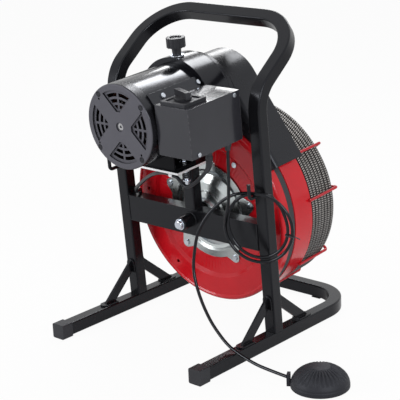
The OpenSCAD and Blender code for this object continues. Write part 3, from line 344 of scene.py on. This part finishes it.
# Near-black steel for the bell's screws.
DARK_STEEL = plated("near_black_screw_steel", (0.045, 0.045, 0.05), 0.3)
STEEL = plated("turned_steel", (0.42, 0.42, 0.43), 0.3)
BRASS = plated("brass_fitting", (0.6, 0.45, 0.2), 0.3)
CABLE = wound_steel()
COILS = copper_coils()
PLASTIC = moulded("black_moulded_plastic", (0.022, 0.022, 0.025), 0.45, shine=0.36)
KNOB = moulded("gloss_knob_plastic", (0.022, 0.022, 0.025), 0.36, 0.00002, shine=0.35)
RUBBER = moulded("black_rubber", (0.02, 0.02, 0.022), 0.6)
BELT = moulded("drive_belt_rubber", (0.026, 0.026, 0.028), 0.55, 0.00006, 0.0007)
PEDAL = moulded("pedal_rubber", (0.012, 0.0122, 0.0155), 0.56, 0.00004, 0.0007, shine=0.35)
HOSE = jacket("air_hose_jacket", (0.005, 0.005, 0.006), 0.07, 0.3)
LEAD = jacket("mains_lead_jacket", (0.012, 0.012, 0.014), 0.32, 0.28)

NODE_FINISH = {
    FRAME_PAINT: "base_tube handle_tube braces cross_member axle_sleeve centre_post hooks",
    PLATE_PAINT: "motor_plate",
    GLOSS_PAINT: "motor_shell box_flange",
    HOOD_PAINT: "motor_hood",
    FLAT_BLACK_AND_PAINTED_SHADE: "motor_cradle drive_shield box_base",
    BELL_PAINT: "end_bell",
    BOX_PAINT: "box_cover",
    GUARD_PAINT: "belt_guard",
    DRUM_PAINT: "drum_shell",
    BAR_PAINT: "cage_bars cage_ring",
    ZINC: "axle_bolt plate_bolts tension_rod guard_screws box_screws flange_screws "
          "hub_bolts guide_tube knob_washer",
    HUB_ZINC: "drum_hub",
    CLIP_ZINC: "lead_clip",
    DARK_STEEL: "bell_screws",
    STEEL: "axle rotor motor_pulley cable_end",
    BRASS: "drum_bearings",
    CABLE: "snake_cable",
    COILS: "stator",
    PLASTIC: "skid_caps switch_bezel air_switch lead_gland hose_barb plug hose_fitting",
    KNOB: "hood_knob switch_knob",
    RUBBER: "rear_pads tension_spring",
    BELT: "drive_belt",
    PEDAL: "pedal_base pedal_skirt pedal_crown",
    HOSE: "air_hose hose_coil",
    LEAD: "mains_lead lead_coil",
}
for finish, names in NODE_FINISH.items():
    for node_name in names.split():
        mesh = NODES[node_name].data
        mesh.materials.clear()
        mesh.materials.append(finish)


# ---------------------------------------------------------------- making pieces
def leaning(x, s, t):
    """A point given in the leaning stand's own axes, in mm: across, back, and up the posts."""
    return DRUM_AT + (ACROSS * x + BACK * s + UPRIGHT * t) * MM


def add_object(name, data, body, finish):
    """A new piece on its body, with its finish."""
    piece = bpy.data.objects.new(name, data)
    bpy.context.scene.collection.objects.link(piece)
    data.materials.append(finish)
    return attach(piece, body)


def add_mesh(name, points, faces, body, finish, slot, smooth=True):
    """A new piece from its points and faces."""
    mesh = bpy.data.meshes.new(name)
    mesh.from_pydata([tuple(p) for p in points], [], faces)
    mesh.validate()
    mesh.update()
    for face in mesh.polygons:
        face.use_smooth = smooth
    return add_object(name, mesh, body, finish)


def grid_faces(rows, columns, close_rows=False):
    """Quads over rows of points, each row a closed loop."""
    faces = []
    for r in range(rows if close_rows else rows - 1):
        for c in range(columns):
            a, b = r * columns, (r + 1) % rows * columns
            d = (c + 1) % columns
            faces.append((a + c, a + d, b + d, b + c))
    return faces


def smooth_path(points, steps):
    """A smooth line through given points, as the CAD's tubes follow."""
    path = []
    last = len(points) - 1
    for i in range(last):
        a, b, c, e = (Vector(points[k]) for k in (max(i - 1, 0), i, i + 1, min(i + 2, last)))
        for j in range(steps):
            u = j / steps
            path.append(0.5 * (2 * b + (c - a) * u + (2 * a - 5 * b + 4 * c - e) * u * u
                               + (3 * b - 3 * c + e - a) * u ** 3))
    return path + [Vector(points[last])]


def path_length(path):
    """The length of a line of points."""
    return sum((b - a).length for a, b in zip(path, path[1:]))


def metres(points):
    """Points given in mm, as vectors in metres."""
    return [Vector(p) * MM for p in points]


def between(value, low, high):
    """0 below low, 1 above high, straight between."""
    return min(max((value - low) / (high - low), 0), 1)


def finer(points, spacing):
    """The same line with more points, about spacing metres apart."""
    line = [points[0]]
    for a, b in zip(points, points[1:]):
        steps = max(1, round((b - a).length / spacing))
        line += [a.lerp(b, k / steps) for k in range(1, steps + 1)]
    return line


def ring_tube(path, radii, sides=20):
    """A tube round a path, closed at both ends, with its own radius at each point."""
    points = []
    across = ACROSS
    for i, place in enumerate(path):
        along = (path[min(i + 1, len(path) - 1)] - path[max(i - 1, 0)]).normalized()
        across = (across - along * across.dot(along)).normalized()
        other = along.cross(across)
        for k in range(sides):
            a = k / sides * TAU
            points.append(place + (across * math.cos(a) + other * math.sin(a)) * radii[i])
    faces = grid_faces(len(path), sides)
    faces += [tuple(range(sides))[::-1], tuple(range(len(points) - sides, len(points)))]
    return points, faces


def cord_curve(name, path, diameter, finish, slot, *stands_for):
    """A round cord along one open line."""
    curve = bpy.data.curves.new(name, "CURVE")
    curve.dimensions = "3D"
    curve.bevel_depth = diameter / 2
    curve.bevel_resolution = 5
    curve.use_fill_caps = True
    spline = curve.splines.new("POLY")
    spline.points.add(len(path) - 1)
    for point, place in zip(spline.points, path):
        point.co = (*place, 1)
    piece = add_object(name, curve, "frame", finish)
    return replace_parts(piece, *stands_for)


# ---------------------------------------------------------------- air hose
HOSE_D = 0.006
COIL_AT = Vector((0.180, -0.059, 0.2406))
COIL_TURN = math.radians(19)
COIL_R = 0.0645
COIL_R_INNER = 0.0555
COIL_ALONG = Vector((math.cos(COIL_TURN), math.sin(COIL_TURN), 0))
COIL_OUT = Vector((math.sin(COIL_TURN), -math.cos(COIL_TURN), 0))
COIL_FROM, COIL_TO, COIL_STEP = 180, 800, 15  # degrees round the coil, from its left side
FIRST_TOP, SECOND_TOP = 450, 795              # where each strand crosses the hook's arm
TOP_REACH = 100
GOES_IN, GOES_OUT = (480, 560), (745, 790)    # where the hose narrows and widens again
STRAND_GAP = 0.0034
HOSE_DROP = [(148, -97.5, 389.8), (148, -98, 360), (147, -98, 325), (142, -95, 290),
             (129, -89, 260)]
HOSE_RUN = [(150, -68, 303), (120, -76, 290), (90, -86, 262), (70, -97, 225), (65, -105, 188),
            (68, -113, 150), (88, -122, 110), (118, -130, 73), (150, -136, 48), (172, -139, 36),
            (187, -140, 31), (200, -141, 27), (235, -143, 20), (270, -143.5, 17),
            (303.4, -143, 15)]


def over_arm(angle, top):
    """How far a strand has moved along the hook's arm, 1 where it lies on the arm."""
    return 0.5 + 0.5 * math.cos(min(abs(angle - top) / TOP_REACH, 1) * math.pi)


def hook_turns():
    """The hose's turns on the hook: the wide turn first, then the narrow one inside it."""
    points = []
    for angle in range(COIL_FROM, COIL_TO, COIL_STEP):
        inner = between(angle, *GOES_IN) - between(angle, *GOES_OUT)
        radius = COIL_R + (COIL_R_INNER - COIL_R) * inner
        a = math.radians(angle)
        side = STRAND_GAP * (over_arm(angle, FIRST_TOP) - over_arm(angle, SECOND_TOP))
        points.append(COIL_AT + COIL_ALONG * radius * math.cos(a)
                      + Vector((0, 0, radius * math.sin(a))) + COIL_OUT * side)
    return points


hose_path = smooth_path(metres(HOSE_DROP) + hook_turns() + metres(HOSE_RUN), 4)
air_hose = cord_curve("air_hose_line", hose_path, HOSE_D, HOSE, "hose_gloss",
                      "air_hose", "hose_coil")

# ---------------------------------------------------------------- mains lead
LEAD_D = 0.007
LEAD_RUN = [(140, -139.4, 387), (139.5, -138.5, 375), (132, -135.5, 360.2),
            (114, -130.4, 344.5), (95, -129.2, 328), (77, -128.6, 318.6), (66, -128.7, 320.6),
            (55, -130.5, 331.5), (41, -129.7, 334.5), (20, -128, 335), (-10, -118, 327),
            (-50, -98, 309), (-90, -76, 286), (-125, -56, 264), (-143, -36, 249),
            (-155, -16, 246), (-164, -8, 226), (-180, -3, 165), (-191, 2, 110), (-193, 5, 60),
            (-193, 8, 22), (-193, 16, 6), (-193, 34, 3.6), (-193, 90, 3.6), (-193, 160, 3.6),
            (-194, 215, 3.6), (-195, 270, 3.6)]
LEAD_COIL_AT = Vector((-0.150, 0.335, 0))
LEAD_END = Vector((-0.1105, 0.316, 0.0085))
LEAD_TURNS = 3.5
STEPS_A_TURN = 24
STORED_R, STORED_R_INNER = 0.042, 0.035
STORED_IN, STORED_UP, STORED_OUT = (0.85, 1.15), (1.75, 2.05), (2.6, 2.9)  # in turns
STORED_LOW, STORED_RISE = 0.0036, 0.0069


def stored_turns():
    """The lead's neat round coil: an outer and an inner turn, and the same again on top."""
    points = []
    for i in range(int(LEAD_TURNS * STEPS_A_TURN) + 1):
        turn = i / STEPS_A_TURN
        inner = between(turn, *STORED_IN) - between(turn, *STORED_OUT)
        ring = STORED_R + (STORED_R_INNER - STORED_R) * inner
        rise = between(turn, *STORED_UP)
        a = math.pi - turn * TAU
        points.append(LEAD_COIL_AT + Vector((ring * math.cos(a), ring * math.sin(a),
                                             STORED_LOW + STORED_RISE * rise)))
    return points


lead_path = smooth_path(metres(LEAD_RUN) + stored_turns() + [LEAD_END], 4)
mains_lead = cord_curve("mains_lead_line", lead_path, LEAD_D, LEAD, "rubber",
                        "mains_lead", "lead_coil")


# ---------------------------------------------------------------- boot on the lead
BOOT_LONG = 0.034
BOOT_ROOT_R, BOOT_TIP_R = 0.0068, 0.0043
BOOT_RIBS = 7
BOOT_GROOVE = 0.0007


def lead_boot():
    """The ribbed, tapered strain relief round the lead where it leaves its gland."""
    count = 2
    while path_length(lead_path[:count]) <= BOOT_LONG:
        count += 1
    line = finer(lead_path[:count], 0.0005)
    radii = []
    for i in range(len(line)):
        share = i / (len(line) - 1)
        grooved = 0.12 < share < 0.92 and (share * BOOT_RIBS) % 1 < 0.42
        radii.append(BOOT_ROOT_R + (BOOT_TIP_R - BOOT_ROOT_R) * share - BOOT_GROOVE * grooved)
    return ring_tube(line, radii)


boot = add_mesh("ribbed_lead_boot", *lead_boot(), "frame", PLASTIC, "black_plastic", smooth=False)


# ---------------------------------------------------------------- weld beads
WELD_R = 0.0016
# The places are in mm: sizes across, then back, then up.
SLEEVE_WELD_R = 14
POST_SIDE, MEMBER_END = 12.8, 162.2
BRACE_NEAR, BRACE_FAR = 166, 184
MEMBER_FRONT = -0.2
BRACE_ENDS = (-0.6, -121.4), (25.6, 90.4)     # back along the lean at the post, y on the skid
MEMBER_TOP, MEMBER_LOW = 21, -30
BRACE_TOP = -115.4
SKID_TOP = 27.6


def weld_bead(points, rng):
    """A rippled bead of weld through the given points."""
    line = finer(points, 0.0006)
    phase = rng.uniform(0, TAU)
    radii = [WELD_R * (0.86 + 0.14 * math.sin(i * 1.9 + phase) + rng.uniform(-0.05, 0.05))
             for i in range(len(line))]
    radii[0] = radii[-1] = WELD_R / 2
    return ring_tube(line, radii, 8)


def stand_welds():
    """Beads where the sleeve, centre post, cross member and braces meet the stand's tubes."""
    turn = [i / 28 * TAU for i in range(29)]
    lines = [[leaning(SLEEVE_WELD_R * math.cos(a), -0.4, SLEEVE_WELD_R * math.sin(a)) for a in turn]]
    for side in (-1, 1):
        for x in (side * POST_SIDE, side * MEMBER_END):
            lines.append([leaning(x, 3, MEMBER_TOP), leaning(x, 22, MEMBER_TOP)])
        x = side * MEMBER_END
        lines.append([leaning(x, MEMBER_FRONT, MEMBER_LOW), leaning(x, MEMBER_FRONT, MEMBER_TOP - 2)])
        near, far = side * BRACE_NEAR, side * BRACE_FAR
        for s, y in BRACE_ENDS:
            lines.append([Vector((x, y, SKID_TOP)) * MM for x in (near, far)])
            lines.append([leaning(x, s, BRACE_TOP) for x in (near, far)])
    lines.append([leaning(x, MEMBER_FRONT, MEMBER_TOP) for x in (-11, 11)])
    rng = random.Random(11)
    points, faces = [], []
    for line in lines:
        more_points, more_faces = weld_bead(line, rng)
        faces += [tuple(len(points) + v for v in face) for face in more_faces]
        points += more_points
    return points, faces


add_mesh("stand_welds", *stand_welds(), "frame", FRAME_PAINT, "black_frame")


# ---------------------------------------------------------------- tie on the hose
TIE_ANGLE = math.radians(-9)
TIE_STEPS = 48
TIE_HALF_WIDE, TIE_HALF_THICK = 0.0014, 0.0005
TIE_TAIL = 0.011
TAIL_STEPS = 6
CORNERS = ((-1, -1), (1, -1), (1, 1), (-1, 1))


def hose_tie():
    """A thin moulded tie round the two strands of the hose, with its cut tail."""
    radial = COIL_ALONG * math.cos(TIE_ANGLE) + Vector((0, 0, math.sin(TIE_ANGLE)))
    middle = COIL_AT + radial * (COIL_R + COIL_R_INNER) / 2
    wide, deep = (COIL_R - COIL_R_INNER) / 2, HOSE_D / 2 + 0.0012
    loop = []
    for i in range(TIE_STEPS):
        a = i / TIE_STEPS * TAU
        side = 1 if math.cos(a) > 0 else -1
        loop.append(middle + radial * (side * wide + deep * math.cos(a))
                    + COIL_OUT * deep * math.sin(a))
    points = []
    tangent = radial.cross(COIL_OUT)
    for place in loop:
        away = (place - middle).normalized() * TIE_HALF_THICK
        for u, v in CORNERS:
            points.append(place + tangent * TIE_HALF_WIDE * u + away * v)
    faces = grid_faces(TIE_STEPS, 4, close_rows=True)
    tail = [middle + radial * (wide + deep + TIE_TAIL * k / TAIL_STEPS)
            + tangent * 0.0004 * k * k / TAIL_STEPS for k in range(TAIL_STEPS + 1)]
    base = len(points)
    for place in tail:
        for u, v in CORNERS:
            points.append(place + COIL_OUT * 0.0012 * u + tangent * TIE_HALF_THICK * v)
    faces += [tuple(base + v for v in face) for face in grid_faces(len(tail), 4)]
    faces += [(base + 3, base + 2, base + 1, base), tuple(range(len(points) - 4, len(points)))]
    return points, faces


tie = add_mesh("hose_tie", *hose_tie(), "frame", PLASTIC, "black_plastic", smooth=False)


# ---------------------------------------------------------------- wound snake cable
DRUM_R = 0.1837
CABLE_D = 0.0095
CABLE_TURNS = 7
CABLE_START = 0.141            # behind the drum's front, along its axle
CABLE_INNER = 0.1552
WIRE_LAY = 0.0042
RING_STEPS, RING_SIDES = 168, 10


def cable_rings():
    """The cable's turns that can be seen: the outer layer, the back face and the inner layer.

    The map's X counts the turns of wire along the cable. Its Y is 1 on the open side of a turn
    and falls towards its neighbours.
    """
    layers = int((DRUM_R - CABLE_INNER) / CABLE_D)
    last_column, last_layer = CABLE_TURNS - 1, layers - 1
    seen = [(i, 0) for i in range(CABLE_TURNS)]
    seen += [(last_column, k) for k in range(1, layers)]
    seen += [(i, last_layer) for i in range(last_column)]
    rng = random.Random(7)
    points, faces, uvs = [], [], []
    steps, sides = RING_STEPS, RING_SIDES
    for column, layer in seen:
        sides_seen = ((0, layer == 0), (0.25, column == last_column), (0.5, layer == last_layer))
        open_sides = [way for way, is_open in sides_seen if is_open]
        radius = DRUM_R - CABLE_D * (layer + 0.5)
        start = rng.random()
        wander = [rng.uniform(0, TAU) for _ in range(3)]
        base = len(points)
        turns_of_wire = round(TAU * radius / WIRE_LAY)
        for i in range(steps):
            a = i / steps * TAU
            lift = 0.0003 * math.sin(3 * a + wander[0]) - 0.0003
            shift = 0.00035 * math.sin(5 * a + wander[1]) + 0.0002 * math.sin(9 * a + wander[2])
            middle = CABLE_START + CABLE_D * (column + 0.5) + shift
            out = ACROSS * math.cos(a) + UPRIGHT * math.sin(a)
            for k in range(sides):
                b = k / sides * TAU
                points.append(DRUM_AT + BACK * (middle + CABLE_D / 2 * math.sin(b))
                              + out * (radius + lift + CABLE_D / 2 * math.cos(b)))
        for face in grid_faces(steps, sides, close_rows=True):
            faces.append(tuple(base + v for v in face))
            for v in face:
                step, edge = divmod(v, sides)
                if step == 0 and max(f // sides for f in face) == steps - 1:
                    step = steps
                if edge == 0 and max(f % sides for f in face) == sides - 1:
                    edge = sides
                uvs.append((start + step / steps * turns_of_wire - edge / sides,
                            max(math.cos((edge / sides - way) * TAU) for way in open_sides)))
    return points, faces, uvs


ring_points, ring_faces, ring_uvs = cable_rings()
snake = add_mesh("wound_cable_turns", ring_points, ring_faces, "drum", CABLE, "wound_cable")
cable_map = snake.data.uv_layers.new(name="cable")
for loop, uv in zip(cable_map.data, ring_uvs):
    loop.uv = uv
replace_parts(snake, "snake_cable")


# ---------------------------------------------------------------- ribbed foot pedal
PEDAL_R = 0.052
PEDAL_AT = Vector((0.354, -0.114, 0))
PEDAL_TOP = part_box("pedal_crown")[1].z
PEDAL_LIP = 0.005
PEDAL_HIGH = PEDAL_TOP - PEDAL_LIP
TREAD_MIDDLE = math.radians(30)
TREAD_HALF = math.radians(150)
TREAD_PITCH = math.radians(11.25)
TREAD_DEEP = 0.0024
TREAD_SPAN = 0.34, 0.92        # where the grooves end, as shares of the dome's radius
TREAD_FADE = 0.3
RING_DEEP, RING_PHI, RING_WIDE = 0.0006, 0.13, 0.03


def tread_depth(angle, phi):
    """Depth of the shell-like grooves round the dome, and of the ring above its lip."""
    ring = RING_DEEP * math.exp(-((phi - RING_PHI) / RING_WIDE) ** 2)
    off = (angle - TREAD_MIDDLE + math.pi) % TAU - math.pi
    if abs(off) > TREAD_HALF:
        return ring
    wave = (0.5 + 0.5 * math.cos(off / TREAD_PITCH * TAU)) ** 1.5
    ends = math.sin(math.pi * between(math.cos(phi), *TREAD_SPAN)) ** 0.5
    side = min(1, (TREAD_HALF - abs(off)) / TREAD_FADE)
    return TREAD_DEEP * wave * ends * side + ring


def pedal_dome():
    """The pedal's rubber dome, open below, where it stands on its base."""
    rows, columns = 56, 480
    points = []
    for r in range(rows):
        phi = r / rows * math.pi / 2
        z = PEDAL_LIP + PEDAL_HIGH * math.sin(phi)
        for c in range(columns):
            a = c / columns * TAU
            deep = tread_depth(a, phi)
            radius = (PEDAL_R - deep) * math.cos(phi)
            points.append(PEDAL_AT + Vector((radius * math.cos(a), radius * math.sin(a),
                                             z - deep * math.sin(phi))))
    faces = grid_faces(rows, columns)
    points.append(PEDAL_AT + Vector((0, 0, PEDAL_TOP)))
    top, last_row = len(points) - 1, (rows - 1) * columns
    faces += [(last_row + c, last_row + (c + 1) % columns, top) for c in range(columns)]
    return points, faces


dome = add_mesh("pedal_ribbed_dome", *pedal_dome(), "pedal", PEDAL, "pedal_rubber")
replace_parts(dome, "pedal_skirt", "pedal_crown")
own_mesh(dome)


# ---------------------------------------------------------------- cords
hose_length = path_length(hose_path)
lead_length = path_length(lead_path)


# ---------------------------------------------------------------- studio
WHITE = (1, 1, 1, 1)
MIRROR_RAYS = "Is Glossy Ray", "Is Transmission Ray"
FLOOR_REACH = 20               # far enough that its edge isn't seen


def world_light(level):
    """A dim world that looks white to the camera and in reflections."""
    world = bpy.data.worlds.new("studio_world")
    bpy.context.scene.world = world
    world.use_nodes = True
    nodes = Nodes(world.node_tree)
    nodes.tree.nodes.clear()
    seen = nodes.add("LightPath", {}, "Is Camera Ray")
    for ray in MIRROR_RAYS:
        seen = seen.maths("MAXIMUM", nodes.add("LightPath", {}, ray))
    dim, white = (nodes.add("Background", {}, "Background", {"Color": WHITE, "Strength": strength})
                  for strength in (level, 1))
    mixed = nodes.add("MixShader", {}, "Shader", {0: seen, 1: dim, 2: white})
    nodes.add("OutputWorld", {}, None, {"Surface": mixed})


def floor_plane(show, mirrored):
    """A floor that is nearly white to the camera, partly so in reflections, and keeps its shadow."""
    f = Finish("studio_floor", Base_Color=(0.8, 0.8, 0.8, 1), Roughness=0.8)
    seen = f.add("LightPath", {}, "Is Camera Ray") * show
    for ray in MIRROR_RAYS:
        seen = seen.maths("MAXIMUM", f.add("LightPath", {}, ray) * mirrored)
    glow = f.add("Emission", {}, "Emission", {"Color": WHITE, "Strength": 1})
    lit = Sock(f, f.shader.outputs["BSDF"])
    mixed = f.add("MixShader", {}, "Shader", {0: seen, 1: lit, 2: glow})
    f.tree.links.new(mixed.out, f.tree.nodes["Material Output"].inputs["Surface"])
    mesh = bpy.data.meshes.new("studio_floor")
    mesh.from_pydata([(x * FLOOR_REACH, y * FLOOR_REACH, 0) for x, y in CORNERS], [],
                     [(0, 1, 2, 3)])
    mesh.materials.append(f.material)
    floor = bpy.data.objects.new("studio_floor", mesh)
    bpy.context.scene.collection.objects.link(floor)


def soft_box(name, place, aim, width, height, watts):
    """A soft oval light at a place, turned towards an aim."""
    light = bpy.data.lights.new(name, "AREA")
    light.shape = "ELLIPSE"
    light.size, light.size_y, light.energy = width, height, watts
    lamp = bpy.data.objects.new(name, light)
    bpy.context.scene.collection.objects.link(lamp)
    lamp.location = place
    lamp.rotation_mode = "QUATERNION"
    lamp.rotation_quaternion = (Vector(aim) - Vector(place)).to_track_quat("-Z", "Y")


world_light(0.34)
floor_plane(0.95, 0.4)
soft_box("back_top_box", (-0.5, 1.47, 2.2), (0, 0, 0.4), 1.25, 0.44, 19)
soft_box("back_left_box", (-0.568, 0.756, 0.96), (0.116, -0.04, 0.49), 0.4, 0.24, 2.2)
soft_box("left_front_box", (-1.2, -2.1, 1.0), (0, 0, 0.25), 1.0, 1.2, 26)
soft_box("right_box", (2.2, -0.9, 1.3), (0, 0, 0.3), 1.2, 1.0, 27)
